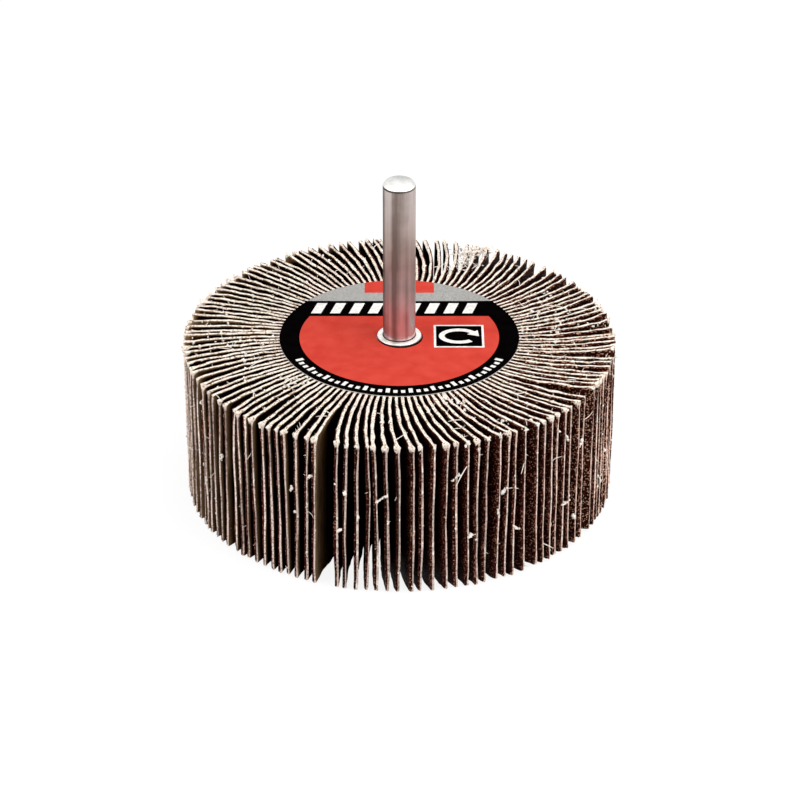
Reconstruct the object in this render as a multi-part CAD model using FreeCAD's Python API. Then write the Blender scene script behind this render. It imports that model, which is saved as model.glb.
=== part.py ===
import FreeCAD, Part
import math
import os

from FreeCAD import Vector

# A mounted flap wheel for a drill: abrasive cloth flaps stand round a cast resin core on a steel spindle.
# Lengths are in millimetres and angles in degrees.
# The wheel stands on the lower edges of its flaps, where Z is 0, and its shank points up along +Z.
# Seen from the shank end the drill turns it clockwise, so the flaps trail anticlockwise.

# Wheel
wheel_diameter = 80.0        # across the flap tips
wheel_width = 30.0           # height of a flap, from its lower edge to its upper one

# Flaps, side by side round the bore with a film of resin between their inner ends
flap_sets = 43
flaps_per_set = 3
flap_thickness = 0.7         # cloth backing and grit together
resin_film = 0.13
bond_depth = 3.5             # length of flap that the resin holds
straight_lead = 0.3          # the flap leaves the resin straight for this length
bend_flats = 5               # the bend of a flap is made of this many equal flats
stack_angles = (             # each stack of flaps: where it starts, and how far its first and last tips trail
    (-112.5, 4.6, 3.8),
    (-101.0, 3.9, 4.3),
    (-60.5, 5.8, 3.6),
    (-37.0, 6.2, 4.2),
    (-14.0, 5.9, 4.6),
    (3.0, 6.6, 4.3),
    (26.0, 4.4, 4.3),
    (42.0, 5.9, 4.4),
    (58.0, 4.8, 6.7),
    (79.0, 6.7, 3.4),
    (97.0, 3.6, 1.8),
    (130.5, 2.9, 0.7),
    (170.0, 2.6, 2.9),
    (198.0, 4.0, 1.0),
)

# Discs that centre the spindle in the ring of flaps
disc_thickness = 1.0
disc_rim_wall = 0.5          # resin between a disc's rim and the inner ends of the flaps
disc_bore_clearance = 0.05

# Spindle: shank, collar, knurled band in the resin, and an end peened over the lower disc
shank_diameter = 6.0
shank_reach = 32.0           # from the face of the label to the end of the shank
shank_end_chamfer = 0.6
collar_overhang = 1.1        # the collar stands this far out of the shank all round
collar_height = 0.6
collar_edge = 0.15
knurl_height = 0.3           # each tooth stands this far out of the shank
knurl_teeth = 18
knurl_length = 14.0
peened_overhang = 1.5
peened_height = 1.1
peened_edge = 0.5
floor_clearance = 0.5        # the peened end stays this far inside the wheel's lower face

# Label, a printed disc on the upper face
label_margin = 1.66          # the label covers the resin, and the flaps for this far past it
label_thickness = 0.15
label_hole_clearance = 0.1

# Sizes that follow from those
flap_count = flap_sets * flaps_per_set
flap_pitch = 360.0 / flap_count
half_flap = flap_thickness / 2
tip_radius = wheel_diameter / 2
root_radius = flap_count * (flap_thickness + resin_film) / (2 * math.pi)
core_radius = root_radius + bond_depth
bend_radius_start = core_radius + straight_lead
disc_radius = root_radius - disc_rim_wall
shank_radius = shank_diameter / 2
knurl_radius = shank_radius + knurl_height
collar_radius = shank_radius + collar_overhang
peened_radius = shank_radius + peened_overhang
core_bottom = peened_height + floor_clearance
core_top = wheel_width
label_radius = core_radius + label_margin
label_top = core_top + label_thickness
shank_top = label_top + shank_reach
knurl_bottom = (core_bottom + core_top - knurl_length) / 2


def beside_radius(along, side, angle):
    """The point this far along the radius at that angle, and this far to its anticlockwise side."""
    turn = math.radians(angle)
    return Vector(
        along * math.cos(turn) - side * math.sin(turn),
        along * math.sin(turn) + side * math.cos(turn),
        0,
    )


def flap_angle(number):
    """Where the root of a flap stands. The first is just past the start of the first stack."""
    return stack_angles[0][0] + (number + 0.5) * flap_pitch


def trail_at(angle):
    """How far the tip trails the root there. It changes evenly along a stack, and the next one starts anew."""
    start, first_trail, last_trail = [stack for stack in stack_angles if stack[0] <= angle][-1]
    ends = [stack[0] for stack in stack_angles if stack[0] > angle] + [stack_angles[0][0] + 360.0]
    return first_trail + (last_trail - first_trail) * (angle - start) / (ends[0] - start)


def closed_face(corners):
    """A flat face with straight edges from corner to corner and back to the first."""
    return Part.Face(Part.makePolygon(corners + corners[:1]))


def turned(points):
    """A solid of revolution about Z from a closed profile of (radius, height) points."""
    profile = closed_face([Vector(radius, 0, height) for radius, height in points])
    return profile.revolve(Vector(0, 0, 0), Vector(0, 0, 1), 360)


def flap(angle):
    """One flap. Its root is straight and radial, and past the resin it bends evenly to its tip.

    The outer face is the convex one. It leaves the straight lead tangentially and ends on the wheel's
    diameter, and the inner face is concentric with it.
    """
    trail = math.radians(trail_at(angle))
    lead_end = Vector(bend_radius_start, -half_flap, 0)
    reach = Vector(tip_radius * math.cos(trail), tip_radius * math.sin(trail), 0) - lead_end
    outer_bend = (reach.x ** 2 + reach.y ** 2) / (2 * reach.y)
    inner_bend = outer_bend - flap_thickness
    centre = lead_end + Vector(0, outer_bend, 0)
    flat_turn = 2 * math.atan2(reach.y, reach.x) / bend_flats

    def bend(radius):
        return [
            centre + Vector(radius * math.sin(flat_turn * n), -radius * math.cos(flat_turn * n), 0)
            for n in range(bend_flats + 1)
        ]

    root = [Vector(root_radius, half_flap, 0), Vector(root_radius, -half_flap, 0)]
    outline = closed_face(root + bend(outer_bend) + bend(inner_bend)[::-1])
    solid = outline.extrude(Vector(0, 0, wheel_width))
    solid.rotate(Vector(0, 0, 0), Vector(0, 0, 1), angle)
    return solid


def flap_set(number):
    """Three neighbouring flaps, as separate solids."""
    first = number * flaps_per_set
    return Part.makeCompound([flap(flap_angle(first + n)) for n in range(flaps_per_set)])


def knurled_band():
    """Straight knurling that keys the spindle in the resin."""
    half_tooth = 180.0 / knurl_teeth
    corners = []
    for tooth in range(knurl_teeth):
        corners.append(beside_radius(knurl_radius, 0, 2 * half_tooth * tooth))
        corners.append(beside_radius(shank_radius, 0, 2 * half_tooth * tooth + half_tooth))
    outline = closed_face(corners)
    outline.translate(Vector(0, 0, knurl_bottom))
    return outline.extrude(Vector(0, 0, knurl_length))


def spindle():
    """The shank, its collar on the upper disc, the knurled band, and the peened end under the lower disc."""
    peened_bottom = core_bottom - peened_height
    collar_top = core_top + collar_height
    body = turned([
        (0, peened_bottom),
        (peened_radius - peened_edge, peened_bottom),
        (peened_radius, peened_bottom + peened_edge),
        (peened_radius, core_bottom),
        (shank_radius, core_bottom),
        (shank_radius, core_top),
        (collar_radius, core_top),
        (collar_radius, collar_top - collar_edge),
        (collar_radius - collar_edge, collar_top),
        (shank_radius, collar_top),
        (shank_radius, shank_top - shank_end_chamfer),
        (shank_radius - shank_end_chamfer, shank_top),
        (0, shank_top),
    ])
    return body.fuse(knurled_band())


def ring(outer_radius, inner_radius, bottom, height):
    """A flat washer about Z."""
    top = bottom + height
    return turned([
        (inner_radius, bottom),
        (outer_radius, bottom),
        (outer_radius, top),
        (inner_radius, top),
    ])


def lower_disc():
    """It goes on the shank from below, before the end is peened over it."""
    return ring(disc_radius, shank_radius + disc_bore_clearance, core_bottom, disc_thickness)


def upper_disc():
    """It goes on from below too, over the knurling, up to the collar."""
    bottom = core_top - disc_thickness
    return ring(disc_radius, knurl_radius + disc_bore_clearance, bottom, disc_thickness)


def resin_core(pin):
    """The cast core: a slot for the root of every flap, a seat for each disc, and a bore cast on the pin."""
    slot_mouth = math.sqrt(core_radius ** 2 - half_flap ** 2)
    corners = []
    for number in range(flap_count):
        angle = flap_angle(number)
        corners += [
            beside_radius(slot_mouth, -half_flap, angle),
            beside_radius(root_radius, -half_flap, angle),
            beside_radius(root_radius, half_flap, angle),
            beside_radius(slot_mouth, half_flap, angle),
        ]
    plan = closed_face(corners)
    plan.translate(Vector(0, 0, core_bottom))
    block = plan.extrude(Vector(0, 0, core_top - core_bottom))
    lower_seat = Part.makeCylinder(disc_radius, disc_thickness, Vector(0, 0, core_bottom))
    upper_seat = Part.makeCylinder(disc_radius, disc_thickness, Vector(0, 0, core_top - disc_thickness))
    return block.cut([lower_seat, upper_seat, pin])


def label():
    hole_radius = collar_radius + label_hole_clearance
    return ring(label_radius, hole_radius, core_top, label_thickness)


def build():
    pin = spindle()
    pieces = {
        "spindle": pin,
        "resin_core": resin_core(pin),
        "lower_disc": lower_disc(),
        "upper_disc": upper_disc(),
        "label": label(),
    }
    for number in range(flap_sets):
        pieces[f"flap_set_{number + 1:02d}"] = flap_set(number)
    return pieces


os.makedirs("parts", exist_ok=True)
for name, shape in build().items():
    shape.exportStep(f"parts/{name}.step")
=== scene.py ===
import math

import bpy
import numpy as np
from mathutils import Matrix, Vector


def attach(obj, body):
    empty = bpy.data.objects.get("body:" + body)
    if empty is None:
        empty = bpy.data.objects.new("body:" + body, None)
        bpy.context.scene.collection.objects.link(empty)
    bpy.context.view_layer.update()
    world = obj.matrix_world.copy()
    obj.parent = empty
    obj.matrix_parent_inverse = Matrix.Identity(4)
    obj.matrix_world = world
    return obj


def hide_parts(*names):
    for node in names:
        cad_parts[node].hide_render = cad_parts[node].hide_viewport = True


# Mounted flap wheel: abrasive cloth flaps round a cast core, on a steel shank that points up.
# Shapes are worked out in millimetres, with angles in degrees, and become metres as they go into a mesh.
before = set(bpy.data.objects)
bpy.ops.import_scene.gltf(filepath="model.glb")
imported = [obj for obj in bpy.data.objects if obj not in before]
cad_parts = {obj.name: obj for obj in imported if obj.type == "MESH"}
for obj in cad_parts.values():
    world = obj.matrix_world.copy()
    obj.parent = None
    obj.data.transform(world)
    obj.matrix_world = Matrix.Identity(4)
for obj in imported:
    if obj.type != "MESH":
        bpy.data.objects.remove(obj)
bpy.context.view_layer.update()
print("frame loaded with", len(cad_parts), "nodes")

metre = 0.001
wholeTurn = 2 * math.pi


# Mesh helpers

def gridFaces(columns, rows):
    # Quads of a grid, whose normals are along-columns cross along-rows
    corner = (np.arange(rows - 1)[:, None] * columns + np.arange(columns - 1)).ravel()
    return np.stack([corner, corner + 1, corner + columns + 1, corner + columns], 1)


def gridBorder(columns, rows):
    # Indices round the edge of a grid, anticlockwise from its first corner
    grid = np.arange(columns * rows).reshape(rows, columns)
    return np.concatenate([grid[0, :-1], grid[:-1, -1], grid[-1, :0:-1], grid[:0:-1, 0]])


def bandFaces(first, second):
    # Quads between two closed loops of as many points
    return np.stack([first, np.roll(first, -1), np.roll(second, -1), second], 1)


def ringFaces(columns, rows):
    # Quads of a grid that closes on itself from its last column to its first
    corner = (np.arange(rows - 1)[:, None] * columns + np.arange(columns)).ravel()
    beside = (np.arange(rows - 1)[:, None] * columns + (np.arange(columns) + 1) % columns).ravel()
    return np.stack([corner, beside, beside + columns, corner + columns], 1)


def turnedOver(quads):
    # The same quads seen from behind, each with the same first corner
    return quads[:, [0, 3, 2, 1]]


def addPiece(name, points, faces, finishes, zones=None, sharp=40.0, uv=None, attributes=None):
    # One mesh object from arrays: points in millimetres, faces, and the number of its material for each face
    mesh = bpy.data.meshes.new(name)
    faceList = faces.tolist() if isinstance(faces, np.ndarray) else faces
    mesh.from_pydata((points * metre).tolist(), [], faceList)
    for finish in finishes:
        mesh.materials.append(finish)
    if zones is not None:
        mesh.polygons.foreach_set("material_index", np.asarray(zones, dtype=np.int32))
    mesh.polygons.foreach_set("use_smooth", np.ones(len(mesh.polygons), dtype=bool))
    mesh.set_sharp_from_angle(angle=math.radians(sharp))
    if uv is not None:
        corners = np.empty(len(mesh.loops), dtype=np.int32)
        mesh.loops.foreach_get("vertex_index", corners)
        layer = mesh.uv_layers.new(name="cloth")
        layer.data.foreach_set("uv", uv[corners].astype(np.float32).ravel())
    for key, values in (attributes or {}).items():
        mesh.attributes.new(key, "FLOAT", "POINT").data.foreach_set("value", values.astype(np.float32).ravel())
    mesh.update()
    piece = bpy.data.objects.new(name, mesh)
    bpy.context.scene.collection.objects.link(piece)
    return piece


# Material helpers

def paint(red, green, blue):
    # A screen colour, 0 to 255, as the linear colour that a shader takes
    shade = np.array([red, green, blue]) / 255.0
    linear = np.where(shade <= 0.04045, shade / 12.92, ((shade + 0.055) / 1.055) ** 2.4)
    return tuple(float(value) for value in linear) + (1.0,)


black, white = paint(0, 0, 0), paint(255, 255, 255)


def addNode(tree, kind, inputs=None, **settings):
    # A node with its settings, whose inputs are plain values or what other nodes put out
    node = tree.nodes.new("ShaderNode" + kind)
    for key, value in settings.items():
        setattr(node, key, value)
    for key, value in (inputs or {}).items():
        if isinstance(value, Value):
            tree.links.new(value.output, node.inputs[key])
        else:
            node.inputs[key].default_value = value
    return node


class Value:
    # What a node puts out. Sums and comparisons of values add nodes to their tree

    def __init__(self, output):
        self.output = output

    def feed(self, kind, output, inputs, **settings):
        return Value(addNode(self.output.id_data, kind, inputs, **settings).outputs[output])

    def maths(self, operation, other=0.0):
        return self.feed("Math", 0, {0: self, 1: other}, operation=operation)

    def __add__(self, other):
        return self.maths("ADD", other)

    def __sub__(self, other):
        return self.maths("SUBTRACT", other)

    def __rsub__(self, other):
        return self.feed("Math", 0, {0: other, 1: self}, operation="SUBTRACT")

    def __mul__(self, other):
        return self.maths("MULTIPLY", other)

    def __truediv__(self, other):
        return self.maths("DIVIDE", other)

    def __gt__(self, other):
        return self.maths("GREATER_THAN", other)

    def __lt__(self, other):
        return self.maths("LESS_THAN", other)

    def along(self, axis):
        return self.feed("SeparateXYZ", axis, {0: self})

    def ramp(self, *stops):
        # Colours by this value, each stop being a place from 0 to 1 and a colour
        node = addNode(self.output.id_data, "ValToRGB", {0: self})
        marks = node.color_ramp.elements
        marks[0].position, marks[0].color = stops[0]
        marks[1].position, marks[1].color = stops[-1]
        for place, colour in stops[1:-1]:
            marks.new(place).color = colour
        return Value(node.outputs["Color"])

    def spread(self, low, high, atLow, atHigh):
        # From one value to the other as this one goes from low to high
        return self.feed("MapRange", 0, {0: self, 1: low, 2: high, 3: atLow, 4: atHigh})

    def mix(self, first, second, blend="MIX"):
        # The first colour where this value is 0, and the second, or their blend, where it is 1
        return self.feed("Mix", 2, {0: self, 6: first, 7: second}, data_type="RGBA", blend_type=blend)

    def tint(self, other):
        # This colour multiplied by another
        return self.feed("Mix", 2, {0: 1.0, 6: self, 7: other}, data_type="RGBA", blend_type="MULTIPLY")


class Finish:
    # A procedural material, with what its values are worked out from

    def __init__(self, name, roughness, metallic=0.0, specular=0.3):
        self.material = bpy.data.materials.new(name)
        self.material.use_nodes = True
        self.tree = self.material.node_tree
        self.shader = self.tree.nodes["Principled BSDF"]
        settings = {"Roughness": roughness, "Metallic": metallic, "Specular IOR Level": specular}
        for key, value in settings.items():
            self.shader.inputs[key].default_value = value
        self.where = self.read("TexCoord", "Object")

    def read(self, kind, output, inputs=None, **settings):
        return Value(addNode(self.tree, kind, inputs, **settings).outputs[output])

    def cloth(self):
        return self.read("UVMap", "UV", uv_map="cloth")

    def attribute(self, name):
        return self.read("Attribute", "Fac", attribute_name=name)

    def noise(self, scale, detail=3.0, stretch=(1.0, 1.0, 1.0), place=None):
        # Its features are about one over scale of the unit of the place, drawn out along an axis by stretch
        mapped = self.read("Mapping", 0, {"Vector": place or self.where, "Scale": stretch})
        return self.read("TexNoise", "Fac", {"Vector": mapped, "Scale": scale, "Detail": detail})

    def cells(self, output, scale, place=None):
        return self.read("TexVoronoi", output, {"Vector": place or self.where, "Scale": scale})

    def put(self, name, value):
        self.tree.links.new(value.output, self.shader.inputs[name])

    def bump(self, height, distance, strength=1.0):
        inputs = {"Height": height, "Distance": distance, "Strength": strength}
        self.put("Normal", self.read("Bump", "Normal", inputs))


# Abrasive cloth: woven backing on one face, grit on the other, and cut edges that show the cotton

clothFinish = {
    "backing": paint(152, 129, 102),
    "backingDark": paint(104, 83, 63),
    "backingShade": (  # painted shade inside a gap, by depth: what is left of the backing's colour there
        (0.005, paint(255, 253, 247)), (0.022, paint(206, 188, 164)), (0.033, paint(152, 128, 100)),
        (0.047, paint(24, 12, 8)), (0.14, paint(24, 12, 8)), (0.27, paint(56, 37, 25)),
    ),
    "warpPitch": 0.42,  # mm between threads
    "weftPitch": 0.36,
    "cream": paint(251, 243, 234),
    "creamDark": paint(198, 166, 128),
    "creamPit": paint(96, 66, 44),
    "tipTan": paint(250, 229, 218),
    "tipTanDark": paint(172, 138, 126),
    "tipWorn": paint(251, 236, 229),
    "gritDark": paint(29, 6, 3),
    "grit": paint(112, 52, 42),
    # painted shade inside a gap, by depth, for the grit
    "gritShade": (
        (0.006, paint(255, 252, 248)), (0.035, paint(194, 164, 150)), (0.1, paint(112, 54, 36)),
    ),
    "speckle": paint(230, 186, 160),
    "speckleDull": paint(138, 88, 74),
    "creamHue": ((1.0, 0.96, 0.945, 1.0), (0.98, 0.985, 0.955, 1.0)),  # tints that the cream drifts between
    "grain": 0.24,  # mm across a grain
    "chipped": (0.86, 1.1),  # how rare the pale grains are, at the tip and further in
}


def edgeColour(finish):
    # Cotton fibres in a cut edge: cream on the upper edges, pinkish tan where the tips have been ground
    fibre = finish.noise(2600.0, 4.0)
    cream = fibre.ramp(
        (0.3, clothFinish["creamPit"]), (0.37, clothFinish["creamDark"]), (0.49, clothFinish["cream"]))
    pink, green = clothFinish["creamHue"]
    cream = cream.tint(finish.noise(110.0, 2.0).ramp((0.4, pink), (0.6, green)))
    tan = fibre.ramp((0.36, clothFinish["tipTanDark"]), (0.52, clothFinish["tipTan"]))
    # the tone darkens the tips on the front side as painted shade
    tan = tan.tint(finish.attribute("toneAndFrontShade"))
    tan = finish.attribute("chips").mix(tan, clothFinish["tipWorn"], "MULTIPLY")
    tuft = finish.noise(620.0, 2.0).ramp((0.6, black), (0.66, white))
    stain = finish.attribute("stain")
    return (stain - tuft * stain).mix(cream, tan)


def putClothColour(finish, colour, shade):
    # A face gets painted shade inside a gap, and cotton covers it where its edge has frayed, broken up so that it ends
    # raggedly
    # its tone varies at random from flap to flap and holds painted shade on the front side
    colour = colour.tint(finish.attribute("depth").ramp(*shade)).tint(finish.attribute("toneAndFrontShade"))
    frayed = finish.attribute("fray") + finish.noise(2300.0) * 1.1 - 0.55
    frayed = frayed.ramp((0.4, black), (0.52, white))
    finish.put("Base Color", frayed.mix(colour, edgeColour(finish)))


def makeBacking():
    # Plain weave over blotches and streaks that run down the cloth
    finish = Finish("clothBacking", 0.9, specular=0.0)
    cloth = finish.cloth()
    warp = (cloth.along("X") * (wholeTurn / clothFinish["warpPitch"])).maths("SINE")
    weft = (cloth.along("Y") * (wholeTurn / clothFinish["weftPitch"])).maths("SINE")
    weave = warp * weft
    blotch = finish.noise(0.45, 4.0, (1.0, 0.35, 1.0), cloth)
    streak = finish.noise(2.2, 3.0, (1.0, 0.08, 1.0), cloth)
    level = blotch * 0.55 + streak * 0.45 + weave * 0.05
    colour = level.ramp((0.38, clothFinish["backingDark"]), (0.6, clothFinish["backing"]))
    putClothColour(finish, colour, clothFinish["backingShade"])
    finish.bump(weave * 0.5 + streak, 0.00006)
    return finish.material


def makeGrit():
    # Dark grains, some of them chipped pale, more so near the tips and on the worn side
    finish = Finish("gritFace", 0.6, specular=0.02)
    cloth = finish.cloth()
    grains = finish.cells("Distance", 1.0 / clothFinish["grain"], cloth)
    chipScale = 0.75 / clothFinish["grain"]
    drawn = finish.read("SeparateColor", 0, {0: finish.cells("Color", chipScale, cloth)})
    pick = drawn + finish.noise(0.5, place=cloth) * 0.5
    atTip, inside = clothFinish["chipped"]
    worn = finish.attribute("chips")
    rare = finish.attribute("depth").spread(0.0, 0.2, atTip, inside) - worn * 0.24
    bare = (pick > rare) * (finish.cells("Distance", chipScale, cloth) < 0.42)
    body = grains.ramp((0.1, clothFinish["grit"]), (0.5, clothFinish["gritDark"]))
    pale = worn.mix(clothFinish["speckleDull"], clothFinish["speckle"])
    putClothColour(finish, bare.mix(body, pale), clothFinish["gritShade"])
    finish.bump(1.0 - grains + bare, 0.00009)
    return finish.material


def makeCutEdge():
    finish = Finish("cutEdge", 0.95, specular=0.02)
    finish.put("Base Color", edgeColour(finish))
    finish.bump(finish.noise(5200.0, 4.0), 0.00015)
    return finish.material


def makeCotton():
    finish = Finish("looseCotton", 0.95, specular=0.02)
    colour = finish.noise(1900.0).ramp((0.3, clothFinish["creamDark"]), (0.42, clothFinish["cream"]))
    finish.put("Base Color", colour)
    finish.bump(finish.noise(7000.0, 2.0), 0.00008)
    return finish.material


backingFinish = makeBacking()
gritFinish = makeGrit()
edgeFinish = makeCutEdge()
cottonFinish = makeCotton()
print("cloth materials made")


# Flaps. Root, bend and trail are as in the CAD source

flaps = {
    "count": 129,
    "perSet": 3,
    "thickness": 0.7,
    "width": 30.0,
    "tipRadius": 40.0,
    "resinFilm": 0.13,
    "bondDepth": 3.5,
    "straightLead": 0.3,
    "bendLength": 19.3,  # mm of cloth from the lead to the tip
    "stacks": (  # where each starts, and how far its first and last tips trail
        (-112.5, 4.6, 3.8), (-101.0, 3.9, 4.3), (-60.5, 5.8, 3.6), (-37.0, 6.2, 4.2), (-14.0, 5.9, 4.6),
        (3.0, 6.6, 4.3), (26.0, 4.4, 4.3), (42.0, 5.9, 4.4), (58.0, 4.8, 6.7), (79.0, 6.7, 3.4),
        (97.0, 3.6, 1.8), (130.5, 2.9, 0.7), (170.0, 2.6, 2.9), (198.0, 4.0, 1.0),
    ),
    "clothPart": 0.47,  # mm of the thickness that shows cotton on the upper and lower edges
    "clothAtTip": 0.31,  # and on the tips, where grit is smeared over the rest
    "gaps": (0.34, 1.2, 2.9),  # mm by which the gaps between tips differ, the narrowest and the widest
    "leanReach": 6,  # flaps on each side over which their lean evens out
    "twist": 0.15,  # mm that the lower and upper corners lean apart
    "bow": 0.14,  # mm that a tip bows at mid height
    "ripples": ((4.3, 21.0, 0.02), (8.1, -13.0, 0.035), (2.6, 6.0, 0.018)),  # length, height and depth in mm
    "ragged": 0.05,  # mm of unevenness along a cut edge
    "gritRecess": 0.096,  # mm that the grit has chipped back from the edges
    "topFade": (2.4, 5.0),  # how much faster the painted gap shade on backing and grit comes in from the upper edge than from the tip
    "burr": 0.6,  # share by which a burred corner thickens
    "burrReach": 0.8,  # mm of the corner that thickens
    "front": (-92.0, 38.0),  # angle and spread of the front side, which has wider cotton and whose tips get painted shade
    "worn": (-9.0, 37.0),  # and of the side where the grit has chipped
    "messyTips": (42.0, 4.5, 0.6),  # root angle of the joint, fade in degrees, mm that the tips lean there
    "bentCorner": (168.6, 1.3),  # where one corner folds into a gap, and by how many mm
    "alongSteps": 25,
    "heightSteps": (0.0, 0.012, 0.04, 0.1, 0.2, 0.32, 0.44, 0.56, 0.68, 0.8, 0.9, 0.96, 0.988, 1.0),
    "seed": 4117,
}
random = np.random.default_rng(flaps["seed"])
flapCount = flaps["count"]
half = flaps["thickness"] / 2
rootRadius = flapCount * (flaps["thickness"] + flaps["resinFilm"]) / wholeTurn
coreRadius = rootRadius + flaps["bondDepth"]
bendStart = coreRadius + flaps["straightLead"]
bendLength = flaps["bendLength"]
leadLength = bendStart - rootRadius
stackStart, firstTrail, lastTrail = np.array(flaps["stacks"]).T
rootAngle = stackStart[0] + (np.arange(flapCount) + 0.5) * 360.0 / flapCount
turnFrom = (rootAngle + 180.0) % 360.0 - 180.0


def trailAt(angle):
    # How far a tip trails its root: evenly from the first trail of its stack to the last one
    stack = np.searchsorted(stackStart, angle, "right") - 1
    stackEnd = np.append(stackStart[1:], stackStart[0] + 360.0)
    share = (angle - stackStart[stack]) / (stackEnd[stack] - stackStart[stack])
    return np.radians(firstTrail[stack] + (lastTrail[stack] - firstTrail[stack]) * share)


def slowNoise(spread, reach):
    # Noise round the wheel, averaged over neighbours so that they lean together
    wide = random.normal(0.0, 1.0, flapCount + 2 * reach)
    wide[:reach], wide[-reach:] = wide[-2 * reach:-reach], wide[reach:2 * reach]
    kernel = np.ones(2 * reach + 1) / math.sqrt(2 * reach + 1)
    return spread * np.convolve(wide, kernel, "valid")


def unevenLean():
    # Gaps between tips are drawn apart from each other, some closed and some open, less their drift round the wheel
    pitch = wholeTurn * flaps["tipRadius"] / flapCount
    spread, narrowest, widest = flaps["gaps"]
    gaps = np.clip(random.normal(pitch, spread, flapCount), narrowest, widest)
    lean = np.cumsum(gaps - gaps.mean())
    reach = flaps["leanReach"]
    wide = np.concatenate([lean[-reach:], lean, lean[:reach]])
    return lean - np.convolve(wide, np.ones(2 * reach + 1) / (2 * reach + 1), "valid")


def nearAngle(centre, spread, power=2):
    # 1 for the flaps at that angle, down to 0 away from it
    return np.exp(-((turnFrom - centre) / spread) ** power)


trail = trailAt(rootAngle)
towardsFront = nearAngle(*flaps["front"])
wornSide = nearAngle(*flaps["worn"])
reachOut = flaps["tipRadius"] * np.cos(trail) - bendStart
reachRound = flaps["tipRadius"] * np.sin(trail) + half
flapShape = {
    "bend": (reachOut ** 2 + reachRound ** 2) / (2 * reachRound),
    "turn": 2 * np.arctan2(reachRound, reachOut),
    "lean": unevenLean(),
    "twist": slowNoise(flaps["twist"], 1) + random.normal(0.0, 0.06, flapCount),
    "bow": slowNoise(flaps["bow"], 1),
    "phase": random.uniform(0.0, wholeTurn, (flapCount, len(flaps["ripples"]))),
    "tipLength": np.clip(random.normal(1.0, 0.005, flapCount), 0.988, 1.01),
    "lift": np.clip(np.abs(random.normal(0.0, 0.14, flapCount)) - 0.05, 0.0, 0.4),
    "clothPart": flaps["clothPart"] + 0.06 * towardsFront - 0.03 * wornSide,
    "top": np.clip(random.normal(0.0, 0.06, flapCount), -0.12, 0.12),
    "burr": np.clip(random.normal(0.45, 0.45, flapCount) + 0.55 * nearAngle(-82.0, 38.0), 0.0, 1.5),
    # tone varies at random from flap to flap, times painted shade on the front side
    "toneAndFrontShade": np.clip(slowNoise(0.08, 2) + random.normal(0.98, 0.06, flapCount), 0.78, 1.16)
            * (1 - 0.3 * towardsFront),
    "corner": random.normal(0.0, 0.5, flapCount) * (random.uniform(0.0, 1.0, flapCount) < 0.12),
    "chips": np.clip(wornSide + random.normal(0.12, 0.1, flapCount), 0.0, 1.0),
}
openAngle = stackStart[0]
pastOpen = np.minimum(np.abs(rootAngle - openAngle), np.abs(rootAngle - openAngle - 360.0))
flapShape["lean"] *= 1 - np.exp(-(pastOpen / 4.0) ** 2)  # the widest joint stays as it is
messyAngle, messyFade, messyLean = flaps["messyTips"]
messyPast = messyAngle - turnFrom
flapShape["messy"] = messyLean * np.exp(-np.abs(messyPast) / messyFade) * (messyPast > 0)
bentAngle, bentBy = flaps["bentCorner"]
flapShape["corner"][np.argmin(np.abs(rootAngle - bentAngle))] = bentBy
tipPlace = flaps["tipRadius"] * (np.radians(rootAngle) + trail) + flapShape["lean"]
gapAfter = np.diff(np.append(tipPlace, tipPlace[0] + wholeTurn * flaps["tipRadius"])) - flaps["thickness"]
gapShare = np.clip(gapAfter / gapAfter.mean(), 0.5, 3.0) ** 1.9  # depth counts faster in the narrower gaps, so the painted gap shade comes sooner there
tipRoom = np.minimum(gapAfter, np.roll(gapAfter, 1)) / gapAfter.mean()
flapShape["burr"] *= np.clip(0.2 + 0.8 * tipRoom, 0.25, 1.0)


def flapSurface(flap, along, height, side):
    # Straight out from the root while along is below 0, then round its bend as along goes from 0 to 1:
    # x = start + away sin(sweep) and y = middle - away cos(sweep), turned to the flap's own angle.
    # Away is the bend's radius less the side, and the side gains the lean, twist, bow, ripples and folds.
    shape = {key: values[flap] for key, values in flapShape.items()}
    grow = np.clip(along, 0.0, 1.05)
    level = height / flaps["width"] * 2 - 1
    shift = grow ** 2 * (shape["lean"] + shape["twist"] * level + shape["bow"] * (1 - level ** 2))
    for number, (waveLength, waveHeight, depth) in enumerate(flaps["ripples"]):
        wave = wholeTurn * (grow * bendLength / waveLength + height / waveHeight) + shape["phase"][..., number]
        shift = shift + depth * (1 + 0.8 * shape["chips"]) * np.minimum(grow * 3, 1.0) * np.sin(wave)
    rise = np.clip(height / flaps["width"], 0.0, 1.0)
    shift = shift + shape["messy"] * grow ** 3 * rise ** 3
    shift = shift + shape["corner"] * np.clip(grow * 3 - 2, 0, 1) ** 1.5 * np.clip(rise * 4 - 3, 0, 1) ** 1.5
    sweep = shape["turn"] * grow
    away = shape["bend"] - half - side - shift
    x = bendStart + leadLength * np.minimum(along, 0.0) + away * np.sin(sweep)
    y = shape["bend"] - half - away * np.cos(sweep)
    angle = np.radians(rootAngle[flap])
    return np.stack([x * np.cos(angle) - y * np.sin(angle), x * np.sin(angle) + y * np.cos(angle),
                     height + 0 * x], -1)


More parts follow.
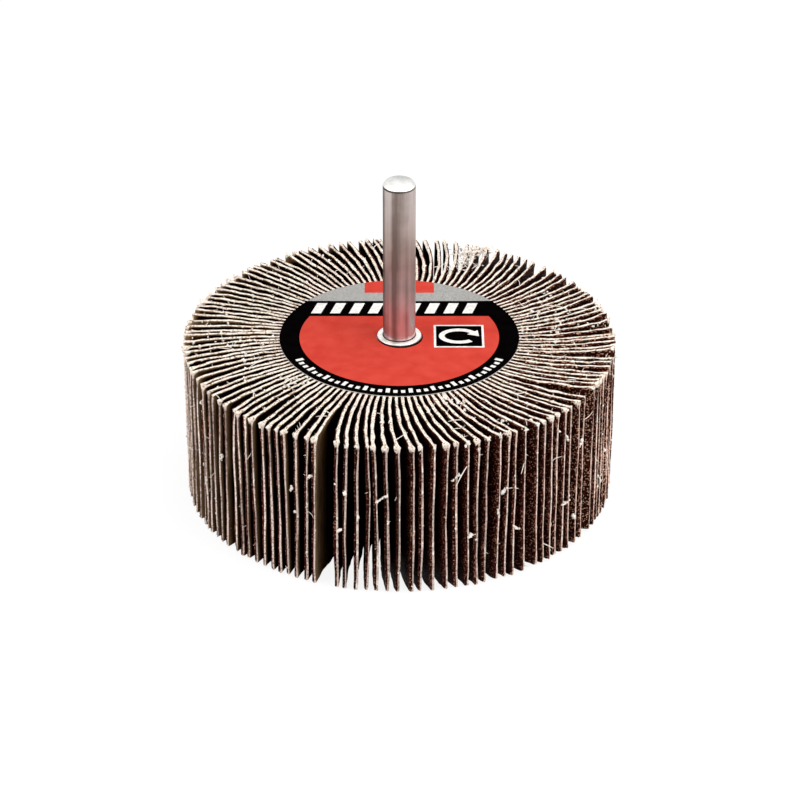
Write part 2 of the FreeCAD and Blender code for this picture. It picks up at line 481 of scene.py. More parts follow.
def allFlaps():
    # Every flap on one grid: its two faces, and two loops round its cut edge, where the cotton bulges and the
    # grit begins
    alongLine = np.concatenate([[-1.0], np.linspace(0.0, 0.98, flaps["alongSteps"]), [1.0]])
    heightLine = np.array(flaps["heightSteps"])
    columns, rows = len(alongLine), len(heightLine)
    border = gridBorder(columns, rows)
    along = np.tile(alongLine, rows)[None, :] + np.zeros((flapCount, 1))
    rise = np.repeat(heightLine, columns)[None, :] + np.zeros((flapCount, 1))
    flap = np.arange(flapCount)[:, None]

    bent = np.maximum(along, 0.0)
    along = np.where(along > 0, along * flapShape["tipLength"][flap], along)
    free = np.clip((bent - 0.09) * 12, 0.0, 1.0)  # under the label the edges stay level
    low = flapShape["lift"][flap] * free
    high = flaps["width"] + flapShape["top"][flap] * free
    height = low + rise * (high - low)

    edgeAlong, edgeHeight = along[:, border], height[:, border]
    outAlong = (np.isclose(alongLine[border % columns], 1.0)).astype(float)[None, :]
    outHeight = (heightLine[border // columns] == 1.0).astype(float) - (heightLine[border // columns] == 0.0)
    outHeight = outHeight[None, :]
    edgeFree = free[:, border]
    nearTip = np.exp(-((1 - along) * bendLength / flaps["burrReach"]) ** 2)
    nearTop = np.exp(-((1 - rise) * flaps["width"] / flaps["burrReach"]) ** 2)
    knob = flapShape["burr"][flap] * nearTip * nearTop
    swell = 1 + flaps["burr"] * knob

    def ragged(size):
        fine = random.normal(0.0, size, (flapCount, len(border)))
        return fine + 0.6 * np.roll(fine, 1, 1) + 0.6 * np.roll(fine, -1, 1)

    swell[:, border] += np.clip(ragged(0.09), -0.2, 0.4) * edgeFree * (1 + 0.7 * flapShape["chips"][flap])

    recess = np.abs(ragged(flaps["gritRecess"]))
    gritAlong, gritHeight = along.copy(), height.copy()
    gritAlong[:, border] -= outAlong * recess / bendLength
    gritHeight[:, border] -= outHeight * recess * edgeFree
    backAlong, backHeight = along.copy(), height.copy()
    rough = ragged(flaps["ragged"])
    backAlong[:, border] += outAlong * rough / bendLength
    backHeight[:, border] += outHeight * (rough - 0.04) * edgeFree

    bulge = 0.05 + np.abs(ragged(flaps["ragged"])) + 0.3 * knob[:, border]
    tipOnly = outAlong * (1 - np.abs(outHeight))
    clothPart = flapShape["clothPart"][flap]
    interface = half - clothPart + (clothPart - flaps["clothAtTip"]) * tipOnly
    sway = ragged(0.03) * edgeFree
    middle = flapSurface(flap, edgeAlong + outAlong * bulge / bendLength,
                         edgeHeight + outHeight * bulge * edgeFree, (half + interface) / 2 + sway)
    seam = flapSurface(flap, edgeAlong + outAlong * rough / bendLength,
                       edgeHeight + outHeight * rough * edgeFree, interface * swell[:, border] + sway)
    back = flapSurface(flap, backAlong, backHeight, half * swell)
    grit = flapSurface(flap, gritAlong, gritHeight, -half * swell)
    points = np.concatenate([back, grit, middle, seam], 1)
    points[..., 2] = np.maximum(points[..., 2], 0.0)

    one = columns * rows
    quads = gridFaces(columns, rows)
    middleLoop = 2 * one + np.arange(len(border))
    seamLoop = middleLoop + len(border)
    faces = np.concatenate([
        quads[:, ::-1],
        quads + one,
        bandFaces(border, middleLoop),
        bandFaces(middleLoop, seamLoop),
        bandFaces(seamLoop, border + one),
    ])
    zones = np.repeat([0, 1, 2, 2, 1], [len(quads), len(quads), len(border), len(border), len(border)])

    onEdge = np.zeros((flapCount, one))
    onEdge[:, border] = 1.0
    wear = random.uniform(0.35, 1.0, onEdge.shape)
    smeared = np.clip(onEdge * 0.12 * wear ** 2 + knob, 0, 1)
    fray = np.concatenate([
        np.clip(onEdge * 0.7 * wear ** 2 + knob, 0, 1),
        smeared,
        np.ones((flapCount, len(border))),
        smeared[:, border],
    ], 1)
    tipStain = np.clip((bent - 0.955) / 0.03, 0, 1) * np.clip((1.0 - rise) * 26, 0, 1)
    tipStain = np.maximum(tipStain, 0.45 * (rise < 0.02))
    stain = np.concatenate([tipStain, tipStain, tipStain[:, border], tipStain[:, border]], 1)
    toneAndFrontShade = flapShape["toneAndFrontShade"][flap] + np.zeros_like(stain)
    chips = flapShape["chips"][flap] + np.zeros_like(stain)
    rootGap = wholeTurn * bendStart / flapCount - flaps["thickness"]

    def inGap(gap, share, fade):
        # Depth below the tips or below the upper edges, whichever is less, which sets the painted gap shade
        across = np.maximum((rootGap + (gap - rootGap) * bent) / gapAfter.mean(), 0.15)
        return np.minimum((1 - bent) / share, (1 - rise) * flaps["width"] / bendLength * fade / across)

    backFade, gritFade = flaps["topFade"]
    inBack = inGap(gapAfter[flap], gapShare[flap], backFade)
    inGrit = inGap(np.roll(gapAfter, 1)[flap], np.roll(gapShare, 1)[flap], gritFade)
    depth = np.concatenate([inBack, inGrit, inBack[:, border], inGrit[:, border]], 1)
    flat = np.concatenate([along, along, edgeAlong, edgeAlong + outAlong * 0.02], 1)
    tall = np.concatenate([height, height, edgeHeight, edgeHeight + outHeight * 0.4], 1)
    uv = np.stack([flat * bendLength + flap * 41.0, tall + flap * 13.7], -1)
    return points, faces, zones, uv, {"toneAndFrontShade": toneAndFrontShade, "stain": stain, "fray": fray, "depth": depth, "chips": chips}


flapPoints, flapFaces, flapZones, flapUv, flapWear = allFlaps()
for setNumber in range(flapCount // flaps["perSet"]):
    members = slice(setNumber * flaps["perSet"], (setNumber + 1) * flaps["perSet"])
    perFlap = flapPoints.shape[1]
    steps = (np.arange(flaps["perSet"]) * perFlap)[:, None, None]
    piece = addPiece(
        f"flapSet_{setNumber + 1:02d}",
        flapPoints[members].reshape(-1, 3),
        (flapFaces[None] + steps).reshape(-1, 4),
        [backingFinish, gritFinish, edgeFinish],
        zones=np.tile(flapZones, flaps["perSet"]),
        sharp=50.0,
        uv=flapUv[members].reshape(-1, 2),
        attributes={key: values[members] for key, values in flapWear.items()},
    )
    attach(piece, "root")
    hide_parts(f"flap_set_{setNumber + 1:02d}")
print("flaps made:", flapCount, "with", len(flapFaces), "quads each")


# Loose cotton: fuzz on the cut edges, longer threads that have pulled out, and lint caught on the corners

cotton = {
    "fuzz": 520,
    "threads": 84,
    "frayAngle": (67.5, 3.0),  # where the cloth has frayed, and how far round
    "frayRadius": (29.0, 38.8),
    "frayThreads": 70,
    "lint": 130,
    "tufts": (0.5, 1.0, -85.0, 48.0),  # share of corners that have one: anywhere, at most, and where most
    "tuftSize": (0.14, 0.36, 0.16),  # smallest, largest, and how much more where most are
    "clumps": (  # angle, spread, radius, spread and number of fluffs caught between flaps
        (67.0, 1.9, 38.2, 0.9, 84), (68.0, 2.2, 34.8, 2.0, 40), (29.0, 1.6, 31.5, 2.4, 18),
        (20.0, 1.5, 28.0, 3.0, 14), (12.0, 5.0, 33.0, 4.5, 40), (176.0, 7.0, 31.0, 5.0, 46),
        (3.0, 3.5, 23.6, 0.9, 18), (-14.0, 3.0, 24.3, 1.2, 16), (-58.0, 1.3, 35.8, 0.5, 9),
        (-66.0, 1.2, 25.0, 1.6, 12), (-70.5, 0.9, 24.0, 1.0, 9), (-139.0, 4.0, 25.5, 2.4, 26),
    ),
    "clumpLimits": (22.5, 39.8),  # radii that hold them, outside the label and inside the tips
    "clumpSize": (0.16, 0.34),
    "flecks": (  # fluffs stuck to the tips: angle, height, length and slope
        (-94.3, 19.6, 2.2, 0.6), (-105.5, 12.1, 0.7, 1.2), (-113.3, 22.3, 0.7, 1.0), (-118.5, 18.8, 0.9, 1.4),
        (-143.1, 18.5, 1.2, 1.2), (-151.9, 10.4, 1.4, 1.5), (-75.6, 23.3, 1.7, 0.8), (-62.4, 18.6, 1.2, 0.9),
        (-63.9, 14.0, 1.5, -1.2), (-41.0, 10.4, 1.8, 0.2), (-34.9, 20.9, 1.4, 0.9), (-22.0, 8.0, 1.5, 1.3),
        (-37.8, 6.3, 1.3, -0.7), (-71.5, 10.6, 1.3, 0.3), (-58.4, 9.9, 1.7, -0.8), (-41.5, 24.0, 1.6, -1.0),
    ),
    "perFleck": 7,
    "fleckSize": (0.16, 0.3),
    "lintSize": (0.14, 0.36),
    "fuzzRadius": 0.045,
    "threadRadius": 0.085,
    "seed": 902,
}
random = np.random.default_rng(cotton["seed"])


def unit(vectors):
    return vectors / np.linalg.norm(vectors, axis=-1, keepdims=True)


def tubes(starts, directions, curls, lengths, radii):
    # Bent tubes: point = start + direction s + curl s squared, ringed by four points at the radius. They thin
    # to their ends
    steps = 6
    share = np.linspace(0.0, 1.0, steps + 1)[None, :, None]
    path = starts[:, None] + lengths[:, None, None] * (directions[:, None] * share + curls[:, None] * share ** 2)
    ahead = unit(np.gradient(path, axis=1))
    across = unit(np.cross(ahead, unit(directions[:, None] * 0.3 + [0.31, 0.57, 0.76])))
    above = np.cross(ahead, across)
    turn = np.arange(4) * wholeTurn / 4
    thick = (radii[:, None, None] * (0.45 + 0.55 * np.sin(share * math.pi) ** 0.5))[..., None]
    ring = across[:, :, None] * np.cos(turn)[:, None] + above[:, :, None] * np.sin(turn)[:, None]
    points = path[:, :, None] + thick * ring
    faces = np.concatenate([ringFaces(4, steps + 1), [[3, 2, 1, 0]], [4 * steps + np.arange(4)]])
    count = len(starts)
    moved = faces[None] + (np.arange(count) * 4 * (steps + 1))[:, None, None]
    return points.reshape(-1, 3), moved.reshape(-1, 4)


def edgePlaces(count, onTop):
    # Points on the cut edges: on the upper ones out to the tip, or down the tips
    flap = random.integers(0, flapCount, count)
    along = np.where(onTop, random.uniform(0.14, 1.0, count) ** 0.7, 1.0)
    height = np.where(onTop, flaps["width"], random.uniform(0.5, flaps["width"], count))
    points = flapSurface(flap, along, height, random.uniform(-0.1, 0.3, count))
    outward = unit(points * [1.0, 1.0, 0.0])
    return points, outward


onTop = random.uniform(0, 1, cotton["fuzz"]) < 0.6
fuzzStart, fuzzOut = edgePlaces(cotton["fuzz"], onTop)
fuzzDirection = np.where(onTop[:, None], [0.0, 0.0, 1.0], fuzzOut) + random.normal(0, 0.7, fuzzStart.shape)
threadTop = random.uniform(0, 1, cotton["threads"]) < 0.35
threadStart, threadOut = edgePlaces(cotton["threads"], threadTop)
threadOutward = np.where(threadTop[:, None], [0.0, 0.0, 1.0], threadOut)
threadDirection = random.normal(0, 0.6, threadStart.shape)
threadDirection += (0.05 - (threadDirection * threadOutward).sum(1, keepdims=True)) * threadOutward
edgePlaces(cotton["frayThreads"], np.ones(cotton["frayThreads"], dtype=bool))  # keeps the draws below in step
frayAngle = np.radians(random.normal(*cotton["frayAngle"], cotton["frayThreads"]))
frayRadius = random.uniform(*cotton["frayRadius"], cotton["frayThreads"])
frayStart = np.stack([frayRadius * np.cos(frayAngle), frayRadius * np.sin(frayAngle),
                      np.full(cotton["frayThreads"], flaps["width"])], 1)
frayDirection = random.normal(0, 0.6, frayStart.shape) * [1.0, 1.0, 0.25] + [0.0, 0.0, 0.05]
tubeStart = np.concatenate([fuzzStart, threadStart, frayStart])
tubeDirection = unit(np.concatenate([fuzzDirection, threadDirection, frayDirection]))
tubeLength = np.concatenate([
    random.uniform(0.3, 0.8, cotton["fuzz"]),
    random.uniform(1.0, 2.7, cotton["threads"]),
    random.uniform(0.8, 2.0, cotton["frayThreads"]),
])
tubeRadius = np.concatenate([
    np.full(cotton["fuzz"], cotton["fuzzRadius"]),
    random.uniform(0.6, 1.2, cotton["threads"]) * cotton["threadRadius"],
    random.uniform(0.6, 1.2, cotton["frayThreads"]) * cotton["threadRadius"],
])
tubeCurl = random.normal(0, 0.3, tubeStart.shape)
tubePoints, tubeFaces = tubes(tubeStart, tubeDirection, tubeCurl, tubeLength, tubeRadius)
tubePoints[:, 2] = np.clip(tubePoints[:, 2], 0.05, None)
threadPiece = addPiece("looseThreads", tubePoints, tubeFaces, [cottonFinish], sharp=180.0)
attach(threadPiece, "root")


def lintBlobs(centres, sizes):
    # Ragged balls: radius times (1 + uneven) on a sphere of five rings and two poles, squashed each its own way
    rings, around = 5, 7
    polar = (np.arange(rings) + 1) * math.pi / (rings + 1)
    turn = np.arange(around) * wholeTurn / around
    ball = np.stack([
        np.sin(polar)[:, None] * np.cos(turn),
        np.sin(polar)[:, None] * np.sin(turn),
        np.cos(polar)[:, None] + 0 * turn,
    ], -1).reshape(-1, 3)
    ball = np.concatenate([ball, [[0, 0, 1.0], [0, 0, -1.0]]])
    count = len(centres)
    uneven = 1 + random.normal(0, 0.28, (count, len(ball), 1))
    squash = random.uniform(0.5, 1.25, (count, 1, 3))
    points = centres[:, None] + sizes[:, None, None] * uneven * ball[None] * squash
    quads = turnedOver(ringFaces(around, rings))
    first = np.arange(around)
    last = (rings - 1) * around + first
    after = np.roll(first, -1)
    caps = np.concatenate([
        np.stack([first, after, np.full(around, rings * around)], 1),
        np.stack([(rings - 1) * around + after, last, np.full(around, rings * around + 1)], 1),
    ])
    step = np.arange(count) * len(ball)
    faces = (quads[None] + step[:, None, None]).reshape(-1, 4).tolist()
    faces += (caps[None] + step[:, None, None]).reshape(-1, 3).tolist()
    return points.reshape(-1, 3), faces


lintTop = random.uniform(0, 1, cotton["lint"]) < 0.4
lintPlace, lintOut = edgePlaces(cotton["lint"], lintTop)
tuftAny, tuftMost, tuftAngle, tuftReach = cotton["tufts"]
nearMost = nearAngle(tuftAngle, tuftReach, 4)
tufted = np.flatnonzero(random.uniform(0, 1, flapCount) < tuftAny + (tuftMost - tuftAny) * nearMost)
tuftPlace = flapSurface(tufted, np.full(len(tufted), 0.993), np.full(len(tufted), 29.8), 0.08)
tuftPlace = np.concatenate([tuftPlace, tuftPlace + random.normal(0, 0.22, tuftPlace.shape)])
tuftLow, tuftHigh, tuftMore = cotton["tuftSize"]
tuftSize = random.uniform(tuftLow, tuftHigh, len(tufted)) + tuftMore * nearMost[tufted]
tuftSize *= np.clip(0.4 + 0.7 * tipRoom[tufted], 0.45, 1.1)
tuftSize = np.concatenate([tuftSize, 0.6 * tuftSize])
clumps = np.repeat(np.array(cotton["clumps"]), [int(row[-1]) for row in cotton["clumps"]], axis=0)
clumpAngle = np.radians(random.normal(clumps[:, 0], clumps[:, 1]))
clumpRadius = np.clip(random.normal(clumps[:, 2], clumps[:, 3]), *cotton["clumpLimits"])
clumpPlace = np.stack([clumpRadius * np.cos(clumpAngle), clumpRadius * np.sin(clumpAngle),
                       flaps["width"] - random.uniform(0.0, 0.5, len(clumps))], 1)
perFleck = cotton["perFleck"]
flecks = np.repeat(np.array(cotton["flecks"]), perFleck, axis=0)
fleckShare = np.tile(np.linspace(-0.5, 0.5, perFleck), len(cotton["flecks"])) * flecks[:, 2]
fleckAngle = np.radians(flecks[:, 0]) + fleckShare * np.cos(flecks[:, 3]) / flaps["tipRadius"]
fleckRadius = flaps["tipRadius"] + 0.05
fleckPlace = np.stack([fleckRadius * np.cos(fleckAngle), fleckRadius * np.sin(fleckAngle),
                       flecks[:, 1] + fleckShare * np.sin(flecks[:, 3])], 1)
fleckPlace += random.normal(0, 0.09, fleckPlace.shape)
lintPoints, lintFaces = lintBlobs(
    np.concatenate([lintPlace + 0.08 * lintOut, tuftPlace, clumpPlace, fleckPlace]),
    np.concatenate([random.uniform(*cotton["lintSize"], cotton["lint"]), tuftSize,
                    random.uniform(*cotton["clumpSize"], len(clumps)),
                    random.uniform(*cotton["fleckSize"], len(flecks))]))
lintPoints[:, 2] = np.clip(lintPoints[:, 2], 0.05, None)
lintPiece = addPiece("lintSpecks", lintPoints, lintFaces, [cottonFinish], sharp=180.0)
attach(lintPiece, "root")
print("loose cotton made:", len(tubeFaces) + len(lintFaces), "faces")


# Spindle: shank, collar, knurled band and peened end, turned from one bar

spindle = {
    "profile": (  # radius, height and rounding of each corner, from the peened end up
        (1.4, 0.58, 0.3), (4.0, 0.5, 0.35), (4.5, 1.0, 0.3), (4.5, 1.6, 0.1), (3.0, 1.6, 0.02),
        (3.0, 8.8, 0.1), (3.0, 22.8, 0.1),
        (3.0, 30.0, 0.02), (4.1, 30.0, 0.05), (4.1, 30.45, 0.08), (3.95, 30.6, 0.1), (3.0, 30.6, 0.14),
        (3.0, 60.95, 0.01), (3.0, 61.3, 0.1), (2.5, 62.05, 0.25), (0.8, 62.17, 0.4),
    ),
    "ends": (0.64, 62.17),  # heights of the two ends on the axis
    "segments": 108,
    "roundSteps": 5,
    "knurl": (8.8, 22.8, 18, 0.3),  # from, to, teeth and how far they stand out
    "collarEdge": (30.4, 4.0),  # the collar's side wall, painted dark as a painted shadow under its rim, is below this height and outside this radius
    "collarTop": (30.62, 3.15),  # its face, painted near white as a painted highlight, up to this height and outside this radius
    "seam": (30.55, 30.8),  # painted shade round the foot of the shank, where it meets the collar
    "endEdge": (60.97, 61.34, 2.95),  # chamfer of the free end, painted dark as painted shade: from, to and outside this radius
    "steel": paint(212, 201, 198),
    "steelDark": paint(140, 125, 120),
    "tints": (  # painted reflection and painted shade on the shank, by height: pink and darker bands that stand in for what it reflects
        (0.0, (0.94, 0.92, 0.91)), (30.0, (0.94, 0.92, 0.91)), (30.6, (0.72, 0.58, 0.6)), (31.7, (1.0, 0.92, 0.96)),
        (39.0, (1.0, 0.92, 0.96)), (44.5, (0.84, 0.63, 0.62)), (50.0, (0.66, 0.56, 0.52)), (56.0, (0.76, 0.71, 0.69)),
        (62.0, (0.82, 0.8, 0.78)),
    ),
    "streak": (-2.98, -2.5, 0.34),  # a painted shade streak down one side, standing in for a dark reflection: where along X, and what it leaves
    # painted highlight: the collar's face near white, lighter than the shank of the same bar
    "collar": paint(255, 254, 250),
    "collarDark": paint(228, 224, 220),
    # painted light at the front of the end face and painted shade at its rear
    "endLight": paint(252, 251, 248),
    "endShade": paint(190, 190, 188),
    # painted shadow on the collar's side wall and painted shade on the end's chamfer
    "edge": paint(122, 112, 104),
    "edgeDark": paint(26, 20, 16),
    # painted shade at the foot of the shank
    "footShade": paint(76, 56, 50),
    "footShadeDark": paint(22, 14, 12),
}


def roundedProfile(corners, steps):
    # Each corner becomes a curve between points one rounding before and after it: (1-t)^2 a + 2t(1-t) c + t^2 b,
    # with one more point beyond each end so that the flat runs stay flat
    corners = np.array(corners)
    place, rounding = corners[:, :2], corners[:, 2:]
    before = np.vstack([place[:1] - [0.5, 0.0], place[:-1]]) - place
    after = np.vstack([place[1:], place[-1:] - [0.5, 0.0]]) - place
    toBefore, toAfter = unit(before), unit(after)
    start, end = place + toBefore * rounding, place + toAfter * rounding
    share = np.linspace(0.0, 1.0, steps + 1)[None, :, None]
    curve = (1 - share) ** 2 * start[:, None] + 2 * share * (1 - share) * place[:, None] + share ** 2 * end[:, None]
    spare = np.minimum(rounding * 0.5 + 0.01, 0.06)
    lead = (start + toBefore * spare)[:, None]
    trailOff = (end + toAfter * spare)[:, None]
    return np.concatenate([lead, curve, trailOff], 1).reshape(-1, 2)


def lathe(profile, ends, segments, knurl):
    # The profile swept round Z: (r cos a, r sin a, z), where the knurled band adds teeth to r. A point closes each end
    turn = np.arange(segments) * wholeTurn / segments
    low, high, teeth, depth = knurl
    tooth = np.abs((turn * teeth / wholeTurn) % 1.0 * 2 - 1)
    inside = (profile[:, 1:] > low) & (profile[:, 1:] < high)
    radius = profile[:, :1] + inside * depth * tooth
    points = np.stack([radius * np.cos(turn), radius * np.sin(turn), profile[:, 1:] + 0 * turn], -1).reshape(-1, 3)
    points = np.concatenate([points, [[0, 0, ends[0]], [0, 0, ends[1]]]])
    rows = len(profile)
    quads = ringFaces(segments, rows)
    first = np.arange(segments)
    after = np.roll(first, -1)
    last = (rows - 1) * segments
    bottom = np.stack([after, first, np.full(segments, rows * segments)], 1)
    top = np.stack([first + last, after + last, np.full(segments, rows * segments + 1)], 1)
    return points, quads.tolist() + bottom.tolist() + top.tolist(), quads


def makeGroundSteel(name, light, dark, roughness, metallic, paintedReflectionAndShade=False):
    # Ground bar: fine rings round it, long faint streaks down it and a few dull patches. On the shank it also gets
    # painted reflection and painted shade by height, and a painted shade streak down one side
    finish = Finish(name, roughness, metallic, 0.5)
    streak = finish.noise(620.0, 3.0, (1.0, 1.0, 0.02))
    rings = finish.noise(900.0, 3.0, (0.05, 0.05, 6.0))
    dull = finish.noise(160.0, 4.0)
    colour = (streak * 0.7 + dull * 0.3).ramp((0.4, dark), (0.6, light))
    if paintedReflectionAndShade:
        # painted reflection and painted shade by height
        lowest, highest = spindle["tints"][0][0], spindle["tints"][-1][0]
        share = (finish.where.along("Z") - lowest * metre) / ((highest - lowest) * metre)
        stops = [((height - lowest) / (highest - lowest), (*tint, 1.0)) for height, tint in spindle["tints"]]
        # painted shade: a darker streak down one side of the shank, standing in for a dark reflection, with less
        # specular there
        streakFrom, streakTo, shadeLeft = spindle["streak"]
        side = finish.where.along("X").spread(streakFrom * metre, streakTo * metre, shadeLeft, 1.0)
        colour = colour.tint(share.ramp(*stops)).tint(side)
        finish.put("Specular Tint", side)
    finish.put("Base Color", colour)
    finish.put("Roughness", dull * 0.16 + (roughness - 0.08))
    finish.bump(rings + streak * 0.6, 0.00002, 0.5)
    return finish.material


def makeTurnedSteel(name, light, dark, across, spread):
    # Turned steel with painted light on one side and painted shade on the other along the axis given, and clouded
    # between them
    finish = Finish(name, 0.4, 0.8, 0.5)
    level = finish.where.along(across) * spread + finish.noise(700.0, 4.0) * 0.6
    finish.put("Base Color", level.ramp((0.12, dark), (0.52, light)))
    finish.bump(finish.noise(2600.0), 0.00002, 0.5)
    return finish.material


shankFinish = makeGroundSteel("groundSteel", spindle["steel"], spindle["steelDark"], 0.32, 0.8, paintedReflectionAndShade=True)
# the collar's face: a painted highlight
collarHighlightFinish = makeGroundSteel("collarHighlightSteel", spindle["collar"], spindle["collarDark"], 0.45, 0.7)
# painted shadow on the collar's side wall and painted shade on the end's chamfer
edgeShadeSteel = makeTurnedSteel("edgeShadeSteel", spindle["edge"], spindle["edgeDark"], "X", 60.0)
# the end face: painted light at the front, painted shade at the rear
endLightShadeSteel = makeTurnedSteel("endLightShadeSteel", spindle["endLight"], spindle["endShade"], "Y", -70.0)
# the foot of the shank: painted shade where it meets the collar
footShadeFinish = makeTurnedSteel("footShadeSteel", spindle["footShade"], spindle["footShadeDark"], "X", 8.0)
spindleProfile = roundedProfile(spindle["profile"], spindle["roundSteps"])
spindlePoints, spindleFaces, spindleQuads = lathe(
    spindleProfile, spindle["ends"], spindle["segments"], spindle["knurl"])
# The zones are told apart by the radius and height of each quad
quadRadius = np.hypot(spindlePoints[spindleQuads, 0], spindlePoints[spindleQuads, 1]).mean(1)
quadHeight = spindlePoints[spindleQuads, 2].mean(1)
edgeHeight, edgeRadius = spindle["collarEdge"]
topHeight, topRadius = spindle["collarTop"]
seamFrom, seamTo = spindle["seam"]
endFrom, endTo, endRadius = spindle["endEdge"]
onCollar = (quadHeight > edgeHeight) & (quadHeight < topHeight) & (quadRadius > topRadius)
onSeam = (quadHeight > seamFrom) & (quadHeight < seamTo) & (quadRadius <= topRadius)
onEdge = (quadHeight > flaps["width"]) & (quadHeight <= edgeHeight) & (quadRadius > edgeRadius)
onEdge |= (quadHeight > endFrom) & (quadHeight < endTo) & (quadRadius > endRadius)
onEnd = (quadHeight >= endTo) & ~onEdge
endZones = np.repeat([0, 3], spindle["segments"])
spindleZones = np.concatenate([onCollar + 2 * onEdge + 3 * onEnd + 4 * onSeam, endZones]).astype(np.int32)
spindlePiece = addPiece("turnedSpindle", spindlePoints, spindleFaces,
                        [shankFinish, collarHighlightFinish, edgeShadeSteel, endLightShadeSteel, footShadeFinish],
                        zones=spindleZones, sharp=60.0)
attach(spindlePiece, "root")
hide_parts("spindle")
print("spindle made:", len(spindleFaces), "faces")


# Label: a paper disc with plain printed fields, bars, ticks and a turning arrow

label = {
    "radius": 22.2,
    "hole": 4.2,
    "bottom": 30.0,
    "thickness": 0.15,
    "ink": 0.012,  # mm that each printed field stands above the one under it
    "redRadius": 18.5,
    "redTop": 7.8,  # the red field ends here, towards the back
    "greyFrom": 13.8,
    "tab": (6.6, 17.1),
    "bars": (-16.6, 3.55, 9, 1.9, 8.9, 12.9, 1.1),  # first, pitch, count, width, from, to, slant
    "ticks": (-154.0, -26.0, 34, 19.5, 21.0),  # first angle, last angle, count, inner and outer radius
    "tickShort": 0.55,  # how much shorter two ticks in three are
    "tickHalf": 0.37,  # half the width of a tick
    "panel": (6.4, 15.7, -4.3, 4.3, 0.42),  # left, right, front, back and width of its line
    "arrow": (11.05, 0.0, 3.2, 2.35, 1.05),  # centre, long and short radius, width
    "arrowTurn": (312.0, 38.0),  # where it starts and ends
    "arrowHead": (1.25, 1.9),  # half its width, and its length
    "red": paint(209, 74, 61),
    "redDark": paint(199, 64, 52),
    "redShadowGap": (0.34, -62.0),  # mm that the red stops short of the collar, and at what angle most, so the black below shows as a painted shadow
    "black": paint(3, 2, 2),
    "blackWorn": paint(7, 5, 6),
    "grey": paint(178, 176, 172),
    "greyDark": paint(148, 147, 144),
    "white": paint(250, 248, 244),
    "whiteDark": paint(226, 222, 216),
    "edgePaper": paint(196, 194, 190),
}


def makePrint(name, light, dark, scale, spread):
    # Ink on coated paper: a mottle at the given scale, a faint paper grain and scuffs that dull it
    finish = Finish(name, 0.55, specular=0.0)
    mottle = finish.noise(scale, 4.0)
    finish.put("Base Color", mottle.ramp((0.5 - spread, dark), (0.5 + spread, light)))
    finish.put("Roughness", finish.noise(220.0, 5.0) * 0.3 + 0.4)
    finish.bump(finish.noise(4200.0), 0.00001, 0.4)
    return finish.material


inks = {"black": 0, "red": 1, "grey": 2, "white": 3, "paper": 4}  # their places among the label's materials
printFinishes = [
    makePrint("printBlack", label["blackWorn"], label["black"], 500.0, 0.2),
    makePrint("printRed", label["red"], label["redDark"], 300.0, 0.16),
    makePrint("printGrey", label["grey"], label["greyDark"], 4200.0, 0.08),
    makePrint("printWhite", label["white"], label["whiteDark"], 1500.0, 0.12),
    makePrint("labelPaper", label["whiteDark"], label["edgePaper"], 900.0, 0.2),
]


def labelLift(x, y):
    # The paper is not quite flat: two slow swells, and a cockle that grows towards the rim
    radius, turn = np.hypot(x, y), np.arctan2(y, x)
    swell = 0.015 * (1 + np.sin(x / 7.0 + 0.8) * np.sin(y / 6.0 + 2.1))
    cockle = 0.022 * (1 + np.sin(turn * 9 + 0.5)) * np.clip((radius - 17.0) / 5.2, 0, 1) ** 2
    return swell + cockle


def slab(x, y, layer):
    # A thin closed sheet over a plan grid (x, y): its upper face, its lower face and the band between their borders
    rows, columns = x.shape
    one = rows * columns
    base = label["bottom"] + label["thickness"] + labelLift(x, y)
    upper = np.stack([x, y, base + layer * label["ink"]], -1).reshape(-1, 3)
    lower = np.stack([x, y, base - 0.03], -1).reshape(-1, 3)
    quads = gridFaces(columns, rows)
    border = gridBorder(columns, rows)
    faces = np.concatenate([quads, quads[:, ::-1] + one, bandFaces(border + one, border)])
    return np.concatenate([upper, lower]), faces


def roundSheet(inner, outer, turn, rows, layer=None):
    # A sheet closed round the axis, where r runs from inner to outer at each turn. The label itself has no layer
    share = np.linspace(0.0, 1.0, rows)[:, None]
    radius = inner + (outer - inner) * share
    x, y = radius * np.cos(turn), radius * np.sin(turn)
    base = label["bottom"] + labelLift(x, y)
    top = base + label["thickness"] + (layer or 0) * label["ink"]
    under = base if layer is None else base + label["thickness"] - 0.03
    columns = len(turn)
    one = rows * columns
    points = np.concatenate([np.stack([x, y, top], -1).reshape(-1, 3), np.stack([x, y, under], -1).reshape(-1, 3)])
    quads = turnedOver(ringFaces(columns, rows))
    rim = (rows - 1) * columns + np.arange(columns)
    hole = np.arange(columns)
    faces = np.concatenate([quads, quads[:, ::-1] + one, bandFaces(rim + one, rim), bandFaces(hole, hole + one)])
    return points, faces, len(quads)


def between(left, right, lower, upper, columns=24, rows=5):
    # A plan grid: x runs from left to right, and y from lower to upper, which may be a function of x
    x = np.linspace(left, right, columns)[None, :] + np.zeros((rows, 1))
    share = np.linspace(0.0, 1.0, rows)[:, None]
    top = upper(x) if callable(upper) else upper
    return x, lower + (top - lower) * share + 0 * x


def printOn(x, y, layer, ink):
    # A printed field on the label, on the layers under it
    labelParts.append((*slab(x, y, layer), inks[ink]))


labelParts = []
roundTurn = np.linspace(0.0, wholeTurn, 181)[:-1]
basePoints, baseFaces, baseTop = roundSheet(label["hole"], label["radius"], roundTurn, 12)
labelParts.append((basePoints, baseFaces, np.where(np.arange(len(baseFaces)) < baseTop, inks["black"], inks["paper"])))

